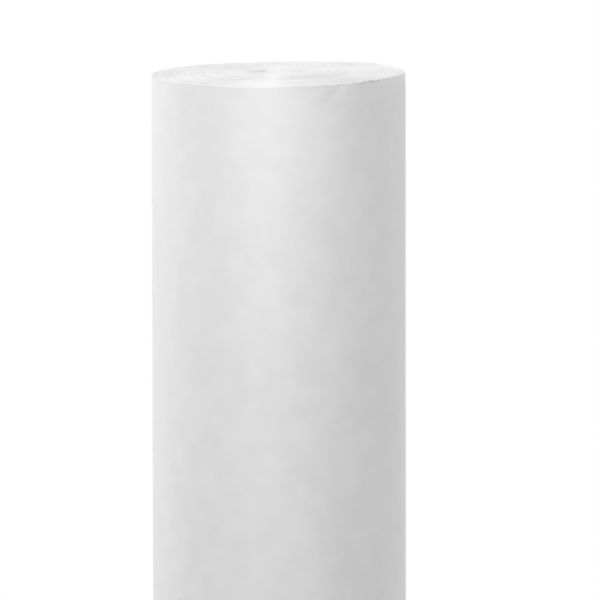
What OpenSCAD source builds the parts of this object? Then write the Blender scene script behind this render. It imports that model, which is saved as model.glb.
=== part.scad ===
/* [Roll] */
// Diameter over the outermost turn
roll_d = 125; // [100:1:180]
// Width of the wound sheet, which is the height of the standing roll
sheet_w = 380; // [200:5:600]

/* [Free end of the sheet] */
// Direction of the free end, counted from +X towards +Y
free_end_turn = 111; // [95:1:150]
// How far the free end stands off the turn below it
free_end_step = 0.3; // [0.1:0.05:0.6]
// How far the last turns stand up above the others beside the free end
lip_h = 0.6; // [0.3:0.1:1.5]
// Thickness of the turns that stand up there
lip_t = 0.8; // [0.5:0.1:1.2]
// Angle round the roll in which they sink back to the rim
lip_sweep = 75; // [40:5:100]

/* [Ends of the roll] */
// Height of the middle turns above the rim
dome_h = 2; // [0.5:0.1:4]
// How sharply the turns rise to the middle: 1 is a cone, 2 is round
dome_power = 1.3; // [1:0.1:2]
// How much higher the rim stands at +X than at -X
slant_h = 2; // [0.5:0.1:4]
// Width of the flat ring at the base that the roll stands on
base_land_w = 10; // [5:1:20]

/* [Gaps between the turns] */
// Radius of the innermost round gap
first_gap_r = 21; // [20:0.5:24]
// Distance from one gap to the next
gap_pitch = 3.3; // [2.6:0.1:4]
// Width of a gap at its mouth
gap_w = 1; // [0.6:0.1:1.4]
// Depth of a gap
gap_depth = 0.35; // [0.2:0.05:0.8]

/* [Loosely wound turns] */
// Radius at which the loose turns begin
loose_r = 27.6; // [27:0.3:33]
// Number of gaps between them
loose_turns = 3; // [1:1:4]
// Width of a gap between loose turns at its mouth
loose_gap_w = 1.6; // [1:0.1:2]
// Depth of a gap between loose turns
loose_gap_depth = 0.8; // [0.4:0.1:1.5]

/* [Crushed centre] */
// Radius of the arc that the flattened centre follows
slit_arc_r = 15; // [13:0.5:16]
// Half the angle that the arc spans
slit_half_sweep = 57; // [45:1:62]
// Direction of the arc's middle, counted from +X towards +Y
slit_turn = 96; // [85:1:105]
// Distance of the arc's middle behind the roll's axis
slit_back = 6; // [4:0.5:8]
// Opening where the innermost turns touch most nearly
slit_neck = 0.8; // [0.5:0.1:1.5]
// Opening of the wide end, on the left
slit_wide = 8.6; // [6.6:0.1:9]
// Length of the wide end along the arc
slit_wide_reach = 10; // [9:0.5:12]
// Opening of the narrow end, on the right
slit_narrow = 3; // [2:0.1:4]
// Length of the narrow end along the arc
slit_narrow_reach = 5; // [4:0.5:7]
// Distance between the gaps in the turns that have folded in
fold_pitch = 4; // [3:0.5:5]
// Angle that those gaps span
fold_sweep = 80; // [50:5:90]

/* [Damage at the rim] */
// Direction of the dent, counted from +X towards +Y
dent_turn = -64; // [-80:1:-40]
// Distance of the dent's middle below the rim
dent_drop = 3.8; // [2:0.2:8]
// Slope of the dent, which rises to the right
dent_slope = 28; // [0:1:45]
// How deep the paper is pressed in
dent_depth = 0.4; // [0.2:0.1:0.8]
// Radius of the dent's hollow
dent_r = 10; // [6:1:16]
// Size of the nicks in the rim
nick_r = 0.6; // [0.3:0.1:1]
// Directions of the two nicks in the rim
nick_turns = [-56, -27]; // [-80:1:0]

/* [Hidden] */
$fn = 96;
roll_r = roll_d / 2;
over = 1;
gap_over = 0.3;
buried_turn = 12;
slant = asin(slant_h / roll_d);
head_room = dome_h + slant_h + lip_h + over;
stock_r = roll_r + (sheet_w + head_room) * sin(slant) + over;
dish_r = roll_r - base_land_w;
outer_gap_r = loose_r + (loose_turns + 1) * gap_pitch;
outer_gaps = floor((roll_r - gap_w - outer_gap_r) / gap_pitch);
gap_radii = concat(
    [for (i = [outer_gaps : -1 : 0]) outer_gap_r + i * gap_pitch],
    [for (r = [loose_r - gap_pitch : -gap_pitch : first_gap_r - over / 2]) r]);
base_gap_radii = [for (r = [dish_r - gap_pitch : -2 * gap_pitch : first_gap_r]) r];
slit_len = 2 * slit_half_sweep * PI / 180 * slit_arc_r;
end_steps = 10;
neck_steps = 6;

// Height of a domed end's surface at radius r, above its rim of radius rim_r
function dome_z(r, rim_r) = dome_h * (1 - pow(r / rim_r, dome_power));

// Outline of a domed end from its rim in to its axis, with a notch at each radius; side is 1 for notches cut down
function notched_dome(radii, rim_r, side) = concat(
    [for (r = radii, i = [1, 0, -1])
        [r + i * gap_w / 2, dome_z(r + i * gap_w / 2, rim_r) - (i == 0 ? side * gap_depth : 0)]],
    [[0, dome_h]]);

function rim_z(turn) = sheet_w + roll_r * cos(turn) * tan(slant);

// Opening of the crushed centre at distance s from one end of its arc: round at the end, then fading to the neck
function end_open(s, reach, wide) =
    let (place = 2 * s / reach - 1)
    place < 0 ? wide * sqrt(1 - place * place)
        : place < 1 ? slit_neck + (wide - slit_neck) * pow(cos(90 * place), 2)
        : slit_neck;
function slit_open(s) = s < slit_len / 2
    ? end_open(s, slit_wide_reach, slit_wide)
    : end_open(slit_len - s, slit_narrow_reach, slit_narrow);
function slit_point(s, side) =
    let (turn = slit_turn + slit_half_sweep - s / slit_arc_r * 180 / PI)
    (slit_arc_r + side * slit_open(s) / 2) * [cos(turn), sin(turn)];

// Distances along the arc at which its outline has points, closer together where it turns
slit_stops = concat(
    [for (i = [0 : end_steps]) slit_wide_reach / 2 * (1 - cos(180 * i / end_steps))],
    [for (i = [1 : neck_steps - 1])
        slit_wide_reach + (slit_len - slit_wide_reach - slit_narrow_reach) * i / neck_steps],
    [for (i = [end_steps : -1 : 0]) slit_len - slit_narrow_reach / 2 * (1 - cos(180 * i / end_steps))]);

// Outer surface: two half rounds whose centres lie half a step apart, so that the one step is the free end
module roll_outline(h) {
    rotate(free_end_turn)
        rotate_extrude(angle = 180)
            square([roll_r, h]);
    translate(-free_end_step / 2 * [cos(free_end_turn), sin(free_end_turn)])
        rotate(free_end_turn + 180)
            rotate_extrude(angle = 180)
                square([roll_r - free_end_step / 2, h]);
}

// Places what is drawn about the rim's plane on the slanting upper end
module on_upper_end() {
    translate([0, 0, sheet_w])
        rotate([0, -slant, 0])
            children();
}

// Stock of the roll under its domed and notched upper end
module domed_stock() {
    rotate_extrude()
        polygon(concat(
            [[0, -sheet_w - head_room], [stock_r, -sheet_w - head_room], [stock_r, dome_z(stock_r, roll_r)]],
            notched_dome(gap_radii, roll_r, 1)));
}

// The dish in the base, as deep as the upper end is domed, since all turns are equally wide
module base_dish() {
    rotate_extrude()
        polygon(concat(
            [[0, -over], [dish_r, -over], [dish_r, 0]],
            notched_dome(base_gap_radii, dish_r, -1)));
}

// The last turns beside the free end, standing above the rim and sinking back below it
module standing_lip() {
    chord = 2 * roll_r * sin(lip_sweep / 2);
    intersection() {
        rotate(free_end_turn)
            rotate_extrude(angle = lip_sweep + buried_turn)
                translate([roll_r - lip_t, -head_room])
                    square([lip_t + over, 2 * head_room]);
        rotate(free_end_turn + lip_sweep)
            translate([roll_r, 0, 0])
                rotate(-90 - lip_sweep / 2)
                    rotate([0, -atan(lip_h / chord), 0])
                        translate([-roll_r, -roll_d, -2 * head_room])
                            cube([2 * roll_d, 2 * roll_d, 2 * head_room]);
    }
}

// Half a turn of a gap between loose turns
module loose_half_gap(r) {
    mouth = loose_gap_w / 2 * (1 + gap_over / loose_gap_depth);
    rotate_extrude(angle = 180)
        translate([r, dome_z(r, roll_r)])
            polygon([[0, -loose_gap_depth], [mouth, gap_over], [-mouth, gap_over]]);
}

// The loose gaps wind outward clockwise: half rounds on the back, and half a pitch further out on the front
module loose_gaps() {
    for (i = [0 : loose_turns - 1]) {
        loose_half_gap(loose_r + i * gap_pitch);
        translate([-gap_pitch / 2, 0, 0])
            rotate(180)
                loose_half_gap(loose_r + (i + 0.5) * gap_pitch);
    }
}

// The roll's middle, which was wound without a core and has folded in on itself
module crushed_centre() {
    translate([0, slit_back - slit_arc_r, -over])
        linear_extrude(sheet_w + head_room + 2 * over)
            polygon([
                for (s = slit_stops) slit_point(s, 1),
                for (i = [len(slit_stops) - 2 : -1 : 1]) slit_point(slit_stops[i], -1)]);
}

// Gaps between the turns that have folded in, in front of the opening
module folded_gaps() {
    translate([0, slit_back - slit_arc_r, 0])
        rotate(slit_turn - fold_sweep / 2)
            rotate_extrude(angle = fold_sweep)
                for (i = [1, 2])
                    translate([slit_arc_r - i * fold_pitch, dome_z(0, roll_r)])
                        polygon([[0, -gap_depth], [gap_w / 2, gap_over], [-gap_w / 2, gap_over]]);
}

// A shallow crease pressed into the side just below the rim
module rim_dent() {
    rotate(dent_turn)
        translate([roll_r + dent_r - dent_depth, 0, rim_z(dent_turn) - dent_drop])
            rotate([dent_slope - 90, 0, 0])
                cylinder(r = dent_r, h = roll_r, center = true);
}

module rim_nicks() {
    for (turn = nick_turns)
        rotate(turn)
            translate([roll_r, 0, rim_z(turn)])
                sphere(r = nick_r);
}

module wound_paper() {
    color("whitesmoke")
        difference() {
            intersection() {
                roll_outline(sheet_w + head_room);
                on_upper_end()
                    union() {
                        domed_stock();
                        standing_lip();
                    }
            }
            on_upper_end()
                loose_gaps();
            on_upper_end()
                folded_gaps();
            base_dish();
            crushed_centre();
            rim_dent();
            rim_nicks();
        }
}

wound_paper();
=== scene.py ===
import math

import bpy
from mathutils import Euler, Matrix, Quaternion, Vector


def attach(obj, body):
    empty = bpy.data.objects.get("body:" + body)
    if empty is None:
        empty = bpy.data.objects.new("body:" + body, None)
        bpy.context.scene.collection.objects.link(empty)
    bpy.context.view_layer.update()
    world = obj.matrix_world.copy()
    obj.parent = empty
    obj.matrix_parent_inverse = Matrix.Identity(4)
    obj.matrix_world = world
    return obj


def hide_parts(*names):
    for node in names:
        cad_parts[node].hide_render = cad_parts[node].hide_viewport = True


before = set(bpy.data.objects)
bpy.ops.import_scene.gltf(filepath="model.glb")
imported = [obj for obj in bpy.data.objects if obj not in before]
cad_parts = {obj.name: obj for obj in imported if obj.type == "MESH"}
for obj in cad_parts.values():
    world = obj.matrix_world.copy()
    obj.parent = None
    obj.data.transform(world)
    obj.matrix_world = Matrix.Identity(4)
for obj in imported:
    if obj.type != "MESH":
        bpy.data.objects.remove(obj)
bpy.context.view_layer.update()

mm = 0.001


# Camera: a long lens a little above the roll's upper end, as the photo was taken

cameraSettings = {
    "distance": 6.0,
    "pitch": 6.96,            # degrees down, which leaves 5.9 degrees onto the upper end
    "lean": -0.09,            # degrees that the camera leans, as its picture shows
    "aimX": 0.01029,          # the roll stands left of the picture's middle
    "aimZ": 0.26827,
    "pictureWidth": 0.29525,  # what the 600 pixels cover at the roll
    "sensor": 36.0,
}


def makeCamera(settings):
    data = bpy.data.cameras.new("photoCamera")
    data.sensor_fit = "HORIZONTAL"
    data.sensor_width = settings["sensor"]
    data.lens = settings["sensor"] * settings["distance"] / settings["pictureWidth"]
    data.clip_end = 50.0
    camera = bpy.data.objects.new("photoCamera", data)
    bpy.context.scene.collection.objects.link(camera)
    pitch = math.radians(settings["pitch"])
    away = Vector((0, -math.cos(pitch), math.sin(pitch))) * settings["distance"]
    camera.location = Vector((settings["aimX"], 0, settings["aimZ"])) + away
    level = Euler((math.pi / 2 - pitch, 0, 0)).to_quaternion()
    camera.rotation_euler = (level @ Quaternion((0, 0, 1), math.radians(settings["lean"]))).to_euler()
    bpy.context.scene.camera = camera
    print("camera made")


# Shader and geometry node helpers

def addNode(tree, kind, **values):
    node = tree.nodes.new(kind)
    for name, value in values.items():
        setattr(node, name, value)
    return node


def feed(tree, socket, value):
    if isinstance(value, bpy.types.NodeSocket):
        tree.links.new(value, socket)
    else:
        socket.default_value = value


def maths(tree, operation, *values):
    node = addNode(tree, "ShaderNodeMath", operation=operation)
    for socket, value in zip(node.inputs, values):
        feed(tree, socket, value)
    return node.outputs[0]


def total(tree, a, b):
    return maths(tree, "ADD", a, b)


def minus(tree, a, b):
    return maths(tree, "SUBTRACT", a, b)


def times(tree, a, b):
    return maths(tree, "MULTIPLY", a, b)


def ratio(tree, a, b):
    return maths(tree, "DIVIDE", a, b)


def timesPlus(tree, a, b, c):
    return maths(tree, "MULTIPLY_ADD", a, b, c)


def ramp(tree, value, low, high, toLow=0.0, toHigh=1.0, smooth=True):
    node = addNode(tree, "ShaderNodeMapRange", interpolation_type="SMOOTHSTEP" if smooth else "LINEAR")
    names = ("Value", "From Min", "From Max", "To Min", "To Max")
    for name, given in zip(names, (value, low, high, toLow, toHigh)):
        feed(tree, node.inputs[name], given)
    return node.outputs["Result"]


def vector(tree, x, y, z):
    node = addNode(tree, "ShaderNodeCombineXYZ")
    for socket, value in zip(node.inputs, (x, y, z)):
        feed(tree, socket, value)
    return node.outputs[0]


def noise(tree, place, scale, detail=2.0, roughness=0.5):
    node = addNode(tree, "ShaderNodeTexNoise")
    feed(tree, node.inputs["Vector"], place)
    for name, value in (("Scale", scale), ("Detail", detail), ("Roughness", roughness)):
        feed(tree, node.inputs[name], value)
    return node.outputs["Fac"]


# The wound roll. Sizes are in millimetres, angles in degrees counted from +X towards +Y.

woundRoll = {
    "Roll Radius": 62.5,
    "Sheet Width": 380.0,
    "Dome Height": 1.6,
    "Dome Power": 1.3,
    "Slant Height": 2.0,        # how much higher the rim stands at +X
    "Back Slant": 0.3,          # and how much lower at +Y
    "Base Land": 10.0,          # the flat ring that the roll stands on
    "Free End Turn": 111.0,
    "Free End Step": 0.3,
    "Lip Height": 0.12,         # the last turns standing up beside the free end
    "Lip Thickness": 1.0,
    "Lip Sweep": 110.0,
    "Crescent Fall": 0.38,      # how far the outer turns fall to the rim beside the free end
    "Crescent Reach": 6.5,
    "Crescent Sweep": 105.0,
    "Crescent Painted Shade": 0.36,      # painted shade there, as a share of that of the loosest turns
    "Tone Reach": 5.0,          # how wide that painted shade, and the tightening of the turns under it, is at the free end
    "Tone Growth": 12.0,        # and how much wider it gets over its sweep
    "Tone Sweep": 60.0,
    "Tone Core": 0.25,          # share of its width where it is full
    "Middle Painted Shade": 0.07,        # painted shade on the turns near the folded middle
    "Front Painted Shade": 0.24,         # and painted shade on those at the front
    # painted shade in the gaps between sets of turns, as a share of that of the loosest turns
    "Gap Painted Shade": 0.5,
    "Left Rise": 0.7,           # stretches of the rim that stand higher
    "Left Rise Turn": 178.0,
    "Left Rise Spread": 48.0,
    "Back Rise": 0.62,
    "Back Rise Turn": 43.0,
    "Back Rise Spread": 11.0,
    "Second Back Rise": 0.15,
    "Second Back Rise Turn": 61.0,
    "Second Back Rise Spread": 9.0,
    "Right Rise": 0.35,
    "Right Rise Turn": -36.0,
    "Right Rise Spread": 22.0,
    "Middle Radius": 12.0,      # the innermost turn, had it stayed round
    "Fold Reach": 20.5,         # the turns inside this radius have folded in
    "Slit Radius": 15.0,
    "Slit Half Sweep": 59.0,
    "Slit Turn": 96.0,
    "Slit Back": 6.0,
    "Slit Neck": 0.25,
    "Slit Wide": 7.8,
    "Slit Wide Reach": 12.5,
    "Slit Narrow": 1.1,
    "Slit Narrow Reach": 5.0,
    "Slit Flare": 0.72,         # share by which the slit closes below its mouth
    "Slit Flare Reach": 1.7,
    "Gap Pitch": 3.3,           # from one gap between sets of turns to the next
    "Gap Depth": 0.34,
    "Loose Radius": 27.7,       # where the turns lie most loosely
    "Loose Depth": 0.6,
    "Second Loose Radius": 35.5,
    "Second Loose Drift": 2.4,
    "Second Loose Depth": 0.32,
    "Second Loose Reach": 1.7,
    "Loose Reach": 1.0,
    "Set Unevenness": 0.14,     # how far sets of turns stand out of line
    "Turn Unevenness": 0.14,    # and single turns
    "Rim Fray": 1.6,
    "Nick Depth": 0.7,          # torn bits of the outer turns along the rim
    "Nick Reach": 1.1,
    "Nick Shade": 0.16,         # how dark it gets in them
    "Side Undulation": 0.12,
    "Rim Wear": 0.4,            # the worn corner on the right draws in
    "Rim Wear Turn": 0.0,
    "Rim Wear Spread": 50.0,
    "Rim Wear Reach": 3.0,
    "Dent Turn": -63.5,
    "Dent Drop": 3.6,
    "Dent Slope": 38.0,
    "Dent Depth": 0.85,
    "Dent Length": 6.5,
    "Dent Width": 2.3,
    "Seed": 4.0,
}

# stretches of the way round: the middle and the spread of each, in degrees
stretches = {
    "nicks": (-44.0, 34.0),
    "fray": (-42.0, 38.0),
    "tightRight": (20.0, 50.0),
    "tightLeft": (185.0, 45.0),
    "looseFront": (-52.0, 32.0),
    "looseLeft": (-140.0, 40.0),
    "looseRight": (-40.0, 40.0),
    "frontPaintedShade": (-45.0, 28.0),
}

rollGrid = {
    "columns": 216,             # around the roll, before the frayed stretch gets its own
    "frayFrom": -95.0,
    "frayTo": 0.0,
    "frayColumns": 158,
    "wallDepths": (380, 250, 60, 8, 3, 1.8, 1.1, 0.6, 0.25),
    "foldRows": 36,
    "endRows": 190,
    "baseRows": 24,
    "stepShare": 0.00006,       # share of the turn that the free end's step takes
    "sharpAngle": 50,
}


def sectionStations(grid, sizes):
    middle = sizes["Middle Radius"]
    folded = (sizes["Fold Reach"] - middle) / (sizes["Roll Radius"] - middle)
    wall = [(0.0, 1 - d / sizes["Sheet Width"]) for d in grid["wallDepths"]]
    fold = [(folded * i / grid["foldRows"], 1.0) for i in range(grid["foldRows"])]
    end = [(folded + (1 - folded) * i / grid["endRows"], 1.0) for i in range(grid["endRows"] + 1)]
    drops = [0.06, 0.2, 0.5] + [1.0 + 1.1 * i for i in range(14)]
    drops += [18 + 14.0 * i for i in range(26)]
    drops += [sizes["Sheet Width"] - d for d in (3, 0.5, 0.2, 0.06)]
    side = [(1.0, 1 - d / sizes["Sheet Width"]) for d in drops if d < sizes["Sheet Width"]]
    base = [(1 - i / grid["baseRows"], 0.0) for i in range(grid["baseRows"])]
    return wall + fold + end + side + base


def aroundStations(grid, freeEnd):
    turns = [360 * i / grid["columns"] for i in range(grid["columns"])]
    frayFrom, frayTo = grid["frayFrom"] % 360, grid["frayTo"] % 360 or 360
    turns = [t for t in turns if not frayFrom <= (t + freeEnd) % 360 <= frayTo]
    span = frayTo - frayFrom
    count = grid["frayColumns"]
    turns += [(frayFrom + span * (i + 0.5) / count - freeEnd) % 360 for i in range(count)]
    last = 1 - grid["stepShare"]
    return sorted(t / 360 * last for t in turns) + [last]


def makeLoopMesh(name, around, stations):
    columns, rows = len(around), len(stations)
    faces = []
    for c in range(columns):
        d = (c + 1) % columns
        for r in range(rows):
            s = (r + 1) % rows
            faces.append((c * rows + r, c * rows + s, d * rows + s, d * rows + r))
    mesh = bpy.data.meshes.new(name)
    mesh.from_pydata([(a, t, h) for a in around for t, h in stations], [], faces)
    for label, values in (
        ("around", [a for a in around for _ in stations]),
        ("turnShare", [t for _ in around for t, _ in stations]),
        ("levelShare", [h for _ in around for _, h in stations]),
    ):
        layer = mesh.attributes.new(label, "FLOAT", "POINT")
        layer.data.foreach_set("value", values)
    return mesh


def readAttribute(tree, name):
    node = addNode(tree, "GeometryNodeInputNamedAttribute", data_type="FLOAT")
    node.inputs["Name"].default_value = name
    return node.outputs["Attribute"]


def keepAttribute(tree, geometry, name, value, kind="FLOAT"):
    node = addNode(tree, "GeometryNodeStoreNamedAttribute", data_type=kind, domain="POINT")
    tree.links.new(geometry, node.inputs["Geometry"])
    node.inputs["Name"].default_value = name
    feed(tree, node.inputs["Value"], value)
    return node.outputs["Geometry"]


def radians(tree, degrees):
    return maths(tree, "RADIANS", degrees)


def squared(tree, value):
    return times(tree, value, value)


def hill(tree, value):
    return maths(tree, "EXPONENT", times(tree, squared(tree, value), -1.0))


def turnHill(tree, turn, centre, spread):
    away = minus(tree, turn, radians(tree, centre))
    away = maths(tree, "WRAP", away, math.pi, -math.pi)
    return hill(tree, ratio(tree, away, radians(tree, spread)))


def slitOpening(tree, s, reach, wide, neck):
    place = minus(tree, ratio(tree, times(tree, s, 2.0), reach), 1.0)
    inner = maths(tree, "MINIMUM", maths(tree, "MAXIMUM", place, 0.0), 1.0)
    outer = maths(tree, "MINIMUM", place, 0.0)
    fade = squared(tree, maths(tree, "COSINE", times(tree, inner, math.pi / 2)))
    inside = timesPlus(tree, minus(tree, wide, neck), fade, neck)
    rounding = maths(tree, "SQRT", maths(tree, "MAXIMUM", minus(tree, 1.0, squared(tree, outer)), 0.0))
    return times(tree, inside, rounding)


def slitPlace(tree, size, turn, depth):
    offset = minus(tree, turn, radians(tree, size["Slit Turn"]))
    offset = maths(tree, "WRAP", offset, math.pi, -math.pi)
    turned = maths(tree, "ABSOLUTE", offset)
    side = maths(tree, "SIGN", minus(tree, math.pi / 2, turned))
    beyond = maths(tree, "ABSOLUTE", minus(tree, turned, math.pi / 2))
    folded = minus(tree, math.pi / 2, beyond)
    share = times(tree, maths(tree, "SIGN", offset), ratio(tree, folded, math.pi / 2))
    half = radians(tree, size["Slit Half Sweep"])
    arcTurn = timesPlus(tree, half, share, radians(tree, size["Slit Turn"]))
    length = times(tree, times(tree, half, 2.0), size["Slit Radius"])
    fromWide = times(tree, times(tree, minus(tree, 1.0, share), 0.5), length)
    fromNarrow = minus(tree, length, fromWide)
    wide = slitOpening(tree, fromWide, size["Slit Wide Reach"], size["Slit Wide"], size["Slit Neck"])
    narrow = slitOpening(tree, fromNarrow, size["Slit Narrow Reach"], size["Slit Narrow"], size["Slit Neck"])
    isWide = maths(tree, "GREATER_THAN", share, 0.0)
    opening = timesPlus(tree, minus(tree, wide, narrow), isWide, narrow)
    closing = maths(tree, "EXPONENT", times(tree, ratio(tree, depth, size["Slit Flare Reach"]), -1.0))
    closing = times(tree, minus(tree, 1.0, closing), size["Slit Flare"])
    opening = times(tree, opening, minus(tree, 1.0, closing))
    reach = timesPlus(tree, times(tree, side, opening), 0.5, size["Slit Radius"])
    x = times(tree, reach, maths(tree, "COSINE", arcTurn))
    y = times(tree, reach, maths(tree, "SINE", arcTurn))
    y = total(tree, y, minus(tree, size["Slit Back"], size["Slit Radius"]))
    return x, y


def blendOf(tree, share, a, b):
    return timesPlus(tree, minus(tree, b, a), share, a)


def domeHeight(tree, size, radius, rim):
    share = maths(tree, "POWER", maths(tree, "MAXIMUM", ratio(tree, radius, rim), 0.0), size["Dome Power"])
    return times(tree, size["Dome Height"], minus(tree, 1.0, share))


def makeRollTree(faceMaterial, edgeMaterial):
    tree = bpy.data.node_groups.new("woundRollTree", "GeometryNodeTree")
    tree.interface.new_socket(name="Geometry", in_out="INPUT", socket_type="NodeSocketGeometry")
    tree.interface.new_socket(name="Geometry", in_out="OUTPUT", socket_type="NodeSocketGeometry")
    for name in woundRoll:
        tree.interface.new_socket(name=name, in_out="INPUT", socket_type="NodeSocketFloat")
    tree.interface.new_socket(name="Paper Face", in_out="INPUT", socket_type="NodeSocketMaterial")
    tree.interface.new_socket(name="Paper Edges", in_out="INPUT", socket_type="NodeSocketMaterial")
    given = addNode(tree, "NodeGroupInput")
    size = given.outputs

    around = readAttribute(tree, "around")
    turnShare = readAttribute(tree, "turnShare")
    level = readAttribute(tree, "levelShare")
    turn = timesPlus(tree, around, 2 * math.pi, radians(tree, size["Free End Turn"]))
    cosine, sine = maths(tree, "COSINE", turn), maths(tree, "SINE", turn)

    # plan: round turns, which near the middle give way to the slit's outline
    span = minus(tree, size["Roll Radius"], size["Middle Radius"])
    wound = timesPlus(tree, span, turnShare, size["Middle Radius"])
    roundShare = ratio(tree, minus(tree, wound, size["Middle Radius"]),
                       minus(tree, size["Fold Reach"], size["Middle Radius"]))
    roundShare = maths(tree, "MINIMUM", roundShare, 1.0)
    roundRadius = maths(tree, "MAXIMUM", wound, size["Fold Reach"])
    drop = times(tree, minus(tree, 1.0, level), size["Sheet Width"])
    slitX, slitY = slitPlace(tree, size, turn, drop)
    plainX = blendOf(tree, roundShare, slitX, times(tree, roundRadius, cosine))
    plainY = blendOf(tree, roundShare, slitY, times(tree, roundRadius, sine))
    planRadius = maths(tree, "SQRT", total(tree, squared(tree, plainX), squared(tree, plainY)))

    # side: the step of the free end, slow undulations and the dent under the rim, all inward
    stepShare = maths(tree, "MAXIMUM", minus(tree, times(tree, around, 2.0), 1.0), 0.0)
    stepIn = minus(tree, 1.0, maths(tree, "COSINE", times(tree, stepShare, math.pi)))
    stepIn = times(tree, times(tree, stepIn, 0.5), size["Free End Step"])
    slow = vector(tree, times(tree, cosine, 1.6), times(tree, sine, 1.6),
                  total(tree, times(tree, drop, 0.016), size["Seed"]))
    wave = times(tree, noise(tree, slow, 1.0, 1.5, 0.45), size["Side Undulation"])
    dentTurn = minus(tree, turn, radians(tree, size["Dent Turn"]))
    dentTurn = maths(tree, "WRAP", dentTurn, math.pi, -math.pi)
    sideways = times(tree, dentTurn, size["Roll Radius"])
    upward = minus(tree, size["Dent Drop"], drop)
    slopeCos = maths(tree, "COSINE", radians(tree, size["Dent Slope"]))
    slopeSin = maths(tree, "SINE", radians(tree, size["Dent Slope"]))
    along = total(tree, times(tree, sideways, slopeCos), times(tree, upward, slopeSin))
    across = minus(tree, times(tree, upward, slopeCos), times(tree, sideways, slopeSin))
    dent = times(tree, hill(tree, ratio(tree, along, size["Dent Length"])),
                 hill(tree, ratio(tree, across, size["Dent Width"])))
    dent = times(tree, dent, size["Dent Depth"])
    worn = maths(tree, "EXPONENT", times(tree, ratio(tree, drop, size["Rim Wear Reach"]), -1.0))
    worn = times(tree, worn, turnHill(tree, turn, size["Rim Wear Turn"], size["Rim Wear Spread"]))
    nickPlace = vector(tree, times(tree, cosine, 48.0), times(tree, sine, 48.0),
                       timesPlus(tree, drop, 1.2, size["Seed"]))
    nicks = ramp(tree, noise(tree, nickPlace, 1.0, 3.0, 0.7), 0.49, 0.6)
    nicks = times(tree, nicks, turnHill(tree, turn, *stretches["nicks"]))
    nicks = times(tree, nicks, ramp(tree, drop, size["Nick Reach"], 0.0))
    nicks = times(tree, nicks, ramp(tree, turnShare, 0.97, 1.0))
    drawn = timesPlus(tree, worn, size["Rim Wear"], times(tree, nicks, size["Nick Depth"]))
    inward = total(tree, total(tree, stepIn, wave), total(tree, dent, drawn))
    outermost = ramp(tree, turnShare, 0.9, 1.0)
    pull = minus(tree, 1.0, ratio(tree, times(tree, inward, outermost), size["Roll Radius"]))
    x = times(tree, plainX, pull)
    y = times(tree, plainY, pull)

    # upper end: dome, slant, gaps between sets of turns, single turns out of line, and the painted shade of the
    # turns
    dome = domeHeight(tree, size, planRadius, size["Roll Radius"])
    tilt = ratio(tree, times(tree, x, size["Slant Height"]), times(tree, size["Roll Radius"], 2.0))
    backTilt = times(tree, ratio(tree, maths(tree, "MAXIMUM", y, 0.0), size["Roll Radius"]), size["Back Slant"])
    tilt = minus(tree, tilt, backTilt)
    spiral = ratio(tree, wound, size["Gap Pitch"])
    spiral = total(tree, spiral, ratio(tree, turn, 2 * math.pi))
    fraction = maths(tree, "FRACT", spiral)
    valley = minus(tree, 1.0, times(tree, maths(tree, "ABSOLUTE", minus(tree, fraction, 0.5)), 4.0))
    valley = maths(tree, "MAXIMUM", valley, 0.0)
    patchPlace = vector(tree, times(tree, cosine, 1.1), times(tree, sine, 1.1),
                        times(tree, wound, 0.21))
    patch = ramp(tree, noise(tree, patchPlace, 1.0, 1.0), 0.35, 0.65)
    gap = times(tree, times(tree, valley, patch), ramp(tree, wound, 13.0, 18.0))
    crescentShare = ratio(tree, times(tree, around, 360.0), size["Crescent Sweep"])
    crescentShare = ramp(tree, crescentShare, 1.0, 0.6)
    rimDistance = minus(tree, size["Roll Radius"], wound)
    # where the crescent gets painted shade; its turns also lie tighter there
    toneReach = ramp(tree, times(tree, around, 360.0), 0.0, size["Tone Sweep"])
    toneReach = timesPlus(tree, toneReach, size["Tone Growth"], size["Tone Reach"])
    tone = ramp(tree, rimDistance, toneReach, times(tree, toneReach, size["Tone Core"]))
    tone = times(tree, tone, crescentShare)
    tight = turnHill(tree, turn, *stretches["tightRight"])
    tight = maths(tree, "MAXIMUM", tight, tone)
    tight = maths(tree, "MAXIMUM", tight, times(tree, turnHill(tree, turn, *stretches["tightLeft"]), 0.5))
    gap = times(tree, gap, timesPlus(tree, tight, -0.85, 1.0))
    firstLoose = ratio(tree, minus(tree, wound, size["Loose Radius"]), size["Loose Reach"])
    firstShare = total(tree, times(tree, turnHill(tree, turn, *stretches["looseFront"]), 0.85),
                       total(tree, times(tree, turnHill(tree, turn, *stretches["looseLeft"]), 0.3), 0.06))
    firstLoose = times(tree, hill(tree, firstLoose), firstShare)
    drift = times(tree, cosine, size["Second Loose Drift"])
    secondLoose = total(tree, minus(tree, wound, size["Second Loose Radius"]), drift)
    secondLoose = hill(tree, ratio(tree, secondLoose, size["Second Loose Reach"]))
    secondShare = total(tree, times(tree, turnHill(tree, turn, *stretches["looseLeft"]), 0.28),
                        total(tree, times(tree, turnHill(tree, turn, *stretches["looseRight"]), 0.5), 0.1))
    secondLoose = times(tree, secondLoose, secondShare)
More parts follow.
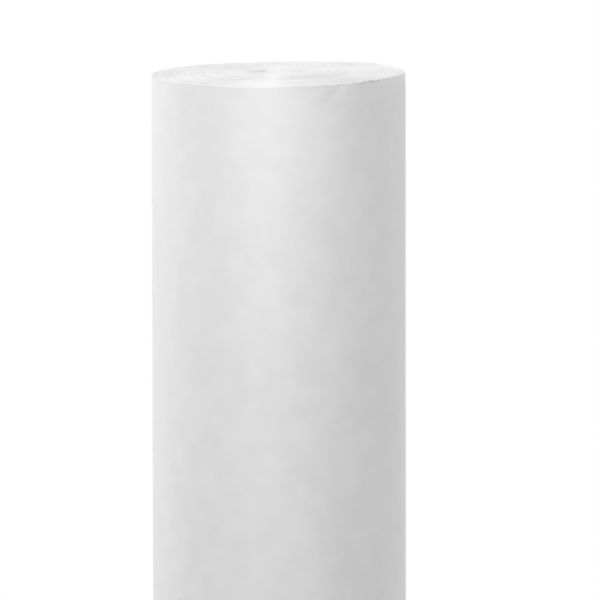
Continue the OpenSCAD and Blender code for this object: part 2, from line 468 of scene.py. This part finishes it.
    # painted shade: darker where the turns lie loosely and in the gaps between sets of turns
    paintedTurnShade = total(tree, firstLoose, secondLoose)
    paintedTurnShade = total(tree, paintedTurnShade, times(tree, gap, size["Gap Painted Shade"]))
    paintedTurnShade = maths(tree, "MINIMUM", paintedTurnShade, 1.0)
    low = total(tree, times(tree, firstLoose, size["Loose Depth"]),
                times(tree, secondLoose, size["Second Loose Depth"]))
    low = total(tree, low, times(tree, gap, size["Gap Depth"]))
    setPlace = vector(tree, times(tree, cosine, 1.4), times(tree, sine, 1.4),
                      total(tree, times(tree, wound, 0.85), size["Seed"]))
    sets = times(tree, minus(tree, noise(tree, setPlace, 1.0, 1.0, 0.5), 0.5),
                 times(tree, size["Set Unevenness"], 3.0))
    finePlace = vector(tree, times(tree, cosine, 2.5), times(tree, sine, 2.5),
                       minus(tree, times(tree, wound, 3.1), size["Seed"]))
    fine = times(tree, minus(tree, noise(tree, finePlace, 1.0, 0.0, 0.5), 0.5),
                 times(tree, size["Turn Unevenness"], 3.0))
    fine = times(tree, total(tree, fine, sets), timesPlus(tree, tight, -0.4, 1.0))
    lipShare = minus(tree, 1.0, ratio(tree, times(tree, around, 360.0), size["Lip Sweep"]))
    lipShare = maths(tree, "MAXIMUM", lipShare, 0.0)
    lipIn = minus(tree, size["Roll Radius"], size["Lip Thickness"])
    lip = times(tree, ramp(tree, wound, minus(tree, lipIn, 0.4), lipIn), lipShare)
    lip = times(tree, lip, size["Lip Height"])
    crescent = ramp(tree, rimDistance, size["Crescent Reach"], 0.0, smooth=False)
    crescent = times(tree, crescent, crescentShare)
    # painted shade in the crescent beside the free end
    paintedTurnShade = timesPlus(tree, tone, size["Crescent Painted Shade"], paintedTurnShade)
    # painted shade on the turns near the folded middle
    paintedTurnShade = timesPlus(tree, ramp(tree, wound, 26.0, 17.0), size["Middle Painted Shade"], paintedTurnShade)
    # painted shade on the turns at the front
    frontShare = times(tree, turnHill(tree, turn, *stretches["frontPaintedShade"]), ramp(tree, wound, 18.0, 26.0))
    paintedTurnShade = timesPlus(tree, frontShare, size["Front Painted Shade"], paintedTurnShade)
    paintedTurnShade = maths(tree, "MINIMUM", paintedTurnShade, 1.0)
    crescent = times(tree, crescent, size["Crescent Fall"])
    rise = 0.0
    for name in ("Left Rise", "Back Rise", "Second Back Rise", "Right Rise"):
        stretch = turnHill(tree, turn, size[name + " Turn"], size[name + " Spread"])
        rise = timesPlus(tree, stretch, size[name], rise)
    rise = times(tree, rise, ramp(tree, turnShare, 0.6, 1.0))
    crescentRise = times(tree, crescentShare, ramp(tree, turnShare, 0.5, 0.9))
    rise = timesPlus(tree, crescentRise, size["Crescent Fall"], rise)
    frayPlace = vector(tree, times(tree, cosine, 30.0), times(tree, sine, 30.0), size["Seed"])
    fray = times(tree, minus(tree, noise(tree, frayPlace, 1.0, 2.0, 0.6), 0.5), size["Rim Fray"])
    frayShare = total(tree, times(tree, turnHill(tree, turn, *stretches["fray"]), 0.94), 0.06)
    fray = times(tree, times(tree, fray, frayShare), ramp(tree, turnShare, 0.975, 1.0))
    relief = minus(tree, total(tree, total(tree, fine, lip), total(tree, fray, rise)),
                   total(tree, low, crescent))
    topZ = total(tree, total(tree, size["Sheet Width"], dome), total(tree, tilt, relief))

    # base: dished as much as the upper end is domed, and flat on its outer ring
    dishRim = minus(tree, size["Roll Radius"], size["Base Land"])
    dish = maths(tree, "MAXIMUM", domeHeight(tree, size, planRadius, dishRim), 0.0)
    inDish = ramp(tree, planRadius, dishRim, minus(tree, dishRim, 2.0))
    baseZ = total(tree, dish, times(tree, total(tree, gap, maths(tree, "ABSOLUTE", fine)), inDish))
    z = blendOf(tree, level, baseZ, topZ)

    scaled = addNode(tree, "ShaderNodeVectorMath", operation="SCALE")
    tree.links.new(vector(tree, x, y, z), scaled.inputs[0])
    scaled.inputs["Scale"].default_value = mm
    place = addNode(tree, "GeometryNodeSetPosition")
    tree.links.new(scaled.outputs[0], place.inputs["Position"])
    winding = vector(tree, wound, cosine, sine)
    geometry = keepAttribute(tree, size["Geometry"], "winding", winding, "FLOAT_VECTOR")
    # the painted shade of the turns goes to the edges material
    geometry = keepAttribute(tree, geometry, "paintedTurnShade", paintedTurnShade)
    geometry = keepAttribute(tree, geometry, "nickShade", times(tree, nicks, size["Nick Shade"]))
    tree.links.new(geometry, place.inputs["Geometry"])
    realize = addNode(tree, "GeometryNodeRealizeInstances")
    tree.links.new(place.outputs[0], realize.inputs[0])
    paint = addNode(tree, "GeometryNodeSetMaterial")
    tree.links.new(realize.outputs[0], paint.inputs["Geometry"])
    tree.links.new(size["Paper Face"], paint.inputs["Material"])
    edges = addNode(tree, "GeometryNodeSetMaterial")
    tree.links.new(paint.outputs[0], edges.inputs["Geometry"])
    isEnd = times(tree, maths(tree, "LESS_THAN", turnShare, 0.9999),
                  maths(tree, "GREATER_THAN", maths(tree, "ABSOLUTE", minus(tree, level, 0.5)), 0.4999))
    tree.links.new(isEnd, edges.inputs["Selection"])
    tree.links.new(size["Paper Edges"], edges.inputs["Material"])
    result = addNode(tree, "NodeGroupOutput")
    tree.links.new(edges.outputs[0], result.inputs["Geometry"])
    return tree


def makeWoundRoll(faceMaterial, edgeMaterial):
    around = aroundStations(rollGrid, woundRoll["Free End Turn"])
    stations = sectionStations(rollGrid, woundRoll)
    rough = bpy.data.objects.new("rollGrid", makeLoopMesh("rollGrid", around, stations))
    bpy.context.scene.collection.objects.link(rough)
    tree = makeRollTree(faceMaterial, edgeMaterial)
    modifier = rough.modifiers.new("winding", "NODES")
    modifier.node_group = tree
    for item in tree.interface.items_tree:
        if item.in_out == "INPUT" and item.name in woundRoll:
            modifier[item.identifier] = woundRoll[item.name]
        elif item.name == "Paper Face":
            modifier[item.identifier] = faceMaterial
        elif item.name == "Paper Edges":
            modifier[item.identifier] = edgeMaterial
    bpy.context.view_layer.update()
    ready = rough.evaluated_get(bpy.context.evaluated_depsgraph_get())
    mesh = bpy.data.meshes.new_from_object(ready)
    mesh.name = "woundRoll"
    bpy.data.objects.remove(rough)
    roll = bpy.data.objects.new("wound_roll", mesh)
    bpy.context.scene.collection.objects.link(roll)
    for polygon in mesh.polygons:
        polygon.use_smooth = True
    mesh.set_sharp_from_angle(angle=math.radians(rollGrid["sharpAngle"]))
    print("roll wound:", len(mesh.polygons), "faces")
    return roll


# Materials

paperFace = {
    "shade": 0.82,
    "roughness": 0.5,
    "roughnessSpread": 0.06,
    "clouds": 0.03,            # light and dark of the sheet's formation, as shares of the shade
    "cloudSize": 90.0,         # per metre
    "fibres": 0.006,
    "fibreSize": 1500.0,
    "fibreHeight": 0.00002,
    "cockle": 0.00006,         # height of the soft waves in the sheet
    "cockleSize": 55.0,
}

paperEdges = {
    "shade": 0.86,
    "roughness": 0.85,
    "roughnessSpread": 0.05,
    "anisotropy": 0.9,         # thousands of parallel edges spread the light along the radius
    "anisotropyTurn": 0.25,
    "specular": 1.0,
    "refraction": 2.2,
    "lines": 0.12,             # painted shade in the gaps between turns, along the turns' lines
    "looseShade": 0.25,
    "outerShade": 0.03,
    "outerFrom": 36.0,
    "outerTo": 58.0,
    "lineHeight": 0.00004,
    "clouds": 0.01,
    "cloudSize": 60.0,
    "fibres": 0.01,
    "fibreSize": 2500.0,
}


def newGroup(name, inputs, outputs):
    group = bpy.data.node_groups.new(name, "ShaderNodeTree")
    for direction, sockets in (("INPUT", inputs), ("OUTPUT", outputs)):
        for label, kind in sockets.items():
            group.interface.new_socket(name=label, in_out=direction, socket_type="NodeSocket" + kind)
    return group, addNode(group, "NodeGroupInput").outputs, addNode(group, "NodeGroupOutput").inputs


def placeGroup(tree, group, **values):
    node = addNode(tree, "ShaderNodeGroup", node_tree=group)
    for name, value in values.items():
        feed(tree, node.inputs[name], value)
    return node.outputs


def stretched(tree, place, x, y, z):
    node = addNode(tree, "ShaderNodeVectorMath", operation="MULTIPLY")
    feed(tree, node.inputs[0], place)
    feed(tree, node.inputs[1], (x, y, z))
    return node.outputs[0]


def makeFormationGroup():
    # the cloudy formation and the fibres of a sheet of paper, both about 0.5 in the middle
    inputs = {"Place": "Vector", "Cloud Size": "Float", "Fibre Size": "Float"}
    tree, given, result = newGroup("paperFormation", inputs, {"Clouds": "Float", "Fibres": "Float"})
    near = noise(tree, given["Place"], given["Cloud Size"], 3.0, 0.5)
    wideSize = times(tree, given["Cloud Size"], 0.3)
    wide = noise(tree, stretched(tree, given["Place"], 1.0, 1.0, 0.45), wideSize, 1.0)
    clouds = total(tree, times(tree, near, 0.55), times(tree, wide, 0.45))
    feed(tree, result["Clouds"], ramp(tree, clouds, 0.3, 0.7))
    grain = noise(tree, stretched(tree, given["Place"], 1.0, 1.0, 3.0), given["Fibre Size"], 2.0, 0.6)
    feed(tree, result["Fibres"], ramp(tree, grain, 0.25, 0.75))
    return tree


def makeWoundLinesGroup():
    # light and dark lines of the turns' edges, which also set painted shade between the turns: the winding
    # vector is radius in mm, cosine and sine
    tree, given, result = newGroup("woundLines", {"Winding": "Vector"}, {"Lines": "Float", "Height": "Float"})
    sets = noise(tree, stretched(tree, given["Winding"], 0.75, 1.6, 1.6), 1.0, 1.0, 0.5)
    turns = noise(tree, stretched(tree, given["Winding"], 2.3, 2.6, 2.6), 1.0, 1.0, 0.5)
    edges = noise(tree, stretched(tree, given["Winding"], 7.5, 5.0, 5.0), 1.0, 2.0, 0.6)
    lines = total(tree, times(tree, ramp(tree, sets, 0.3, 0.7), 0.4),
                  total(tree, times(tree, ramp(tree, turns, 0.3, 0.7), 0.35),
                        times(tree, ramp(tree, edges, 0.25, 0.75), 0.25)))
    feed(tree, result["Lines"], lines)
    feed(tree, result["Height"], total(tree, times(tree, turns, 0.5), times(tree, edges, 0.5)))
    return tree


def grey(tree, value):
    colour = addNode(tree, "ShaderNodeCombineColor")
    for socket in colour.inputs:
        feed(tree, socket, value)
    return colour.outputs[0]


def attribute(tree, name, output):
    node = addNode(tree, "ShaderNodeAttribute", attribute_type="GEOMETRY", attribute_name=name)
    return node.outputs[output]


def swing(tree, mask, size):
    return times(tree, minus(tree, mask, 0.5), 2 * size)


def newMaterial(name):
    material = bpy.data.materials.new(name)
    material.use_nodes = True
    return material, material.node_tree, material.node_tree.nodes["Principled BSDF"].inputs


def makePaperFace(values, formation):
    material, tree, shader = newMaterial("siliconed paper face")
    place = addNode(tree, "ShaderNodeTexCoord").outputs["Object"]
    sheetSizes = {"Cloud Size": values["cloudSize"], "Fibre Size": values["fibreSize"]}
    sheet = placeGroup(tree, formation, Place=place, **sheetSizes)
    tone = total(tree, swing(tree, sheet["Clouds"], values["clouds"]),
                 swing(tree, sheet["Fibres"], values["fibres"]))
    light = minus(tree, 1.0, attribute(tree, "nickShade", "Fac"))
    light = times(tree, light, total(tree, tone, 1.0))
    feed(tree, shader["Base Color"], grey(tree, times(tree, light, values["shade"])))
    roughness = swing(tree, sheet["Clouds"], values["roughnessSpread"])
    feed(tree, shader["Roughness"], total(tree, roughness, values["roughness"]))
    soft = noise(tree, place, values["cockleSize"], 1.0)
    height = total(tree, times(tree, soft, values["cockle"]),
                   times(tree, sheet["Fibres"], values["fibreHeight"]))
    bump = addNode(tree, "ShaderNodeBump")
    bump.inputs["Distance"].default_value = 1.0
    tree.links.new(height, bump.inputs["Height"])
    tree.links.new(bump.outputs["Normal"], shader["Normal"])
    return material


def makePaperEdges(values, formation, lines):
    material, tree, shader = newMaterial("cut edges of the turns")
    place = addNode(tree, "ShaderNodeTexCoord").outputs["Object"]
    sheetSizes = {"Cloud Size": values["cloudSize"], "Fibre Size": values["fibreSize"]}
    sheet = placeGroup(tree, formation, Place=place, **sheetSizes)
    wound = placeGroup(tree, lines, Winding=attribute(tree, "winding", "Vector"))
    tone = total(tree, swing(tree, sheet["Clouds"], values["clouds"]),
                 swing(tree, sheet["Fibres"], values["fibres"]))
    # painted shade: the gaps between turns, the loose turns, the crescent, the middle, the front and the nicks
    dark = times(tree, minus(tree, 1.0, wound["Lines"]), values["lines"])
    dark = total(tree, dark, times(tree, attribute(tree, "paintedTurnShade", "Fac"), values["looseShade"]))
    radius = addNode(tree, "ShaderNodeSeparateXYZ")
    feed(tree, radius.inputs[0], attribute(tree, "winding", "Vector"))
    outer = ramp(tree, radius.outputs[0], values["outerFrom"], values["outerTo"])
    dark = total(tree, dark, times(tree, outer, values["outerShade"]))
    dark = total(tree, dark, attribute(tree, "nickShade", "Fac"))
    tone = minus(tree, total(tree, tone, 1.0), dark)
    feed(tree, shader["Base Color"], grey(tree, times(tree, tone, values["shade"])))
    roughness = swing(tree, wound["Lines"], values["roughnessSpread"])
    feed(tree, shader["Roughness"], total(tree, roughness, values["roughness"]))
    feed(tree, shader["Anisotropic"], values["anisotropy"])
    feed(tree, shader["Anisotropic Rotation"], values["anisotropyTurn"])
    feed(tree, shader["Specular IOR Level"], values["specular"])
    feed(tree, shader["IOR"], values["refraction"])
    tangent = addNode(tree, "ShaderNodeTangent", direction_type="RADIAL", axis="Z")
    feed(tree, shader["Tangent"], tangent.outputs[0])
    bump = addNode(tree, "ShaderNodeBump")
    bump.inputs["Distance"].default_value = 1.0
    feed(tree, bump.inputs["Height"], times(tree, wound["Height"], values["lineHeight"]))
    tree.links.new(bump.outputs["Normal"], shader["Normal"])
    return material


# Floor, lights and background

studio = {
    "floorRadius": 6.0,
    "floorSides": 96,
    "floorShade": 0.86,
    "floorRoughness": 0.9,
    "floorFadeFrom": 0.3,
    "floorFadeTo": 0.72,
    "surroundings": 0.2,
}

lamps = {
    # side and rise in degrees to the right of the camera and up, distance in metres from where
    # the lamps aim, width and height in metres, power in watts
    "keyLamp": {"side": -12, "rise": 12, "distance": 0.7, "wide": 0.3, "tall": 0.2, "power": 0.85},
    "lowKeyLamp": {"side": -9, "rise": 3, "distance": 0.7, "wide": 0.15, "tall": 0.1, "power": 0.42},
    "highKeyLamp": {"side": -10, "rise": 31, "distance": 0.42, "wide": 0.12, "tall": 0.1, "power": 0.32},
    "backHighLamp": {"side": 173, "rise": 60, "distance": 2.5, "wide": 0.7, "tall": 0.7, "power": 12.0},
    "backLamp": {"side": 173, "rise": 30, "distance": 2.5, "wide": 0.7, "tall": 0.7, "power": 4.0},
    "leftHighLamp": {"side": -93, "rise": 69, "distance": 2.5, "wide": 0.7, "tall": 0.7, "power": 12.3},
    "rightHighLamp": {"side": 92, "rise": 69, "distance": 2.5, "wide": 0.7, "tall": 0.7, "power": 6.4},
    "leftLamp": {"side": -121, "rise": 7, "distance": 3.0, "wide": 0.8, "tall": 0.8, "power": 24.8},
    "leftBackLamp": {"side": -150, "rise": 7, "distance": 3.0, "wide": 0.8, "tall": 0.8, "power": 11.0},
    "rightLamp": {"side": 121, "rise": 8, "distance": 3.0, "wide": 0.8, "tall": 0.8, "power": 17.0},
    "rightBackLamp": {"side": 140, "rise": 8, "distance": 3.0, "wide": 0.8, "tall": 0.8, "power": 5.4},
}
lampAim = 0.27


def seenRays(tree):
    path = addNode(tree, "ShaderNodeLightPath")
    seen = maths(tree, "MAXIMUM", path.outputs["Is Camera Ray"], path.outputs["Is Glossy Ray"])
    return maths(tree, "MAXIMUM", seen, path.outputs["Is Transmission Ray"])


def makeWorld(settings):
    world = bpy.data.worlds.new("white studio")
    bpy.context.scene.world = world
    world.use_nodes = True
    tree = world.node_tree
    background = tree.nodes["Background"]
    background.inputs["Color"].default_value = (1, 1, 1, 1)
    strength = ramp(tree, seenRays(tree), 0.0, 1.0, settings["surroundings"], 1.0, smooth=False)
    tree.links.new(strength, background.inputs["Strength"])


def makeFloor(settings):
    mesh = bpy.data.meshes.new("studioFloor")
    count = settings["floorSides"]
    points = [(0.0, 0.0, 0.0)] + [
        (settings["floorRadius"] * math.cos(2 * math.pi * i / count),
         settings["floorRadius"] * math.sin(2 * math.pi * i / count), 0.0) for i in range(count)]
    mesh.from_pydata(points, [], [(0, 1 + i, 1 + (i + 1) % count) for i in range(count)])
    floor = bpy.data.objects.new("studio_floor", mesh)
    bpy.context.scene.collection.objects.link(floor)
    material = bpy.data.materials.new("pale studio floor")
    material.use_nodes = True
    tree = material.node_tree
    shader = tree.nodes["Principled BSDF"]
    shader.inputs["Base Color"].default_value = (settings["floorShade"],) * 3 + (1,)
    shader.inputs["Roughness"].default_value = settings["floorRoughness"]
    shader.inputs["Specular IOR Level"].default_value = 0.0
    white = addNode(tree, "ShaderNodeEmission")
    place = addNode(tree, "ShaderNodeTexCoord").outputs["Object"]
    length = addNode(tree, "ShaderNodeVectorMath", operation="LENGTH")
    tree.links.new(place, length.inputs[0])
    away = ramp(tree, length.outputs["Value"], settings["floorFadeFrom"], settings["floorFadeTo"])
    share = times(tree, away, seenRays(tree))
    mix = addNode(tree, "ShaderNodeMixShader")
    tree.links.new(share, mix.inputs[0])
    tree.links.new(shader.outputs[0], mix.inputs[1])
    tree.links.new(white.outputs[0], mix.inputs[2])
    tree.links.new(mix.outputs[0], tree.nodes["Material Output"].inputs["Surface"])
    mesh.materials.append(material)
    print("floor laid")


def makeLamp(name, settings, target):
    data = bpy.data.lights.new(name, "AREA")
    data.shape = "RECTANGLE"
    data.size = settings["wide"]
    data.size_y = settings["tall"]
    data.energy = settings["power"]
    lamp = bpy.data.objects.new(name, data)
    bpy.context.scene.collection.objects.link(lamp)
    side, rise = math.radians(settings["side"]), math.radians(settings["rise"])
    out = Vector((math.sin(side) * math.cos(rise), -math.cos(side) * math.cos(rise), math.sin(rise)))
    lamp.location = target + out * settings["distance"]
    lamp.rotation_euler = out.to_track_quat("Z", "Y").to_euler()
    lamp.visible_camera = False


makeCamera(cameraSettings)
formationGroup = makeFormationGroup()
faceMaterial = makePaperFace(paperFace, formationGroup)
edgeMaterial = makePaperEdges(paperEdges, formationGroup, makeWoundLinesGroup())
roll = makeWoundRoll(faceMaterial, edgeMaterial)
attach(roll, "root")
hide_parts("wound_paper")
makeWorld(studio)
makeFloor(studio)
for lampName, lampValues in lamps.items():
    makeLamp(lampName, lampValues, Vector((0, 0, lampAim)))
bpy.context.scene.view_settings.view_transform = "Standard"
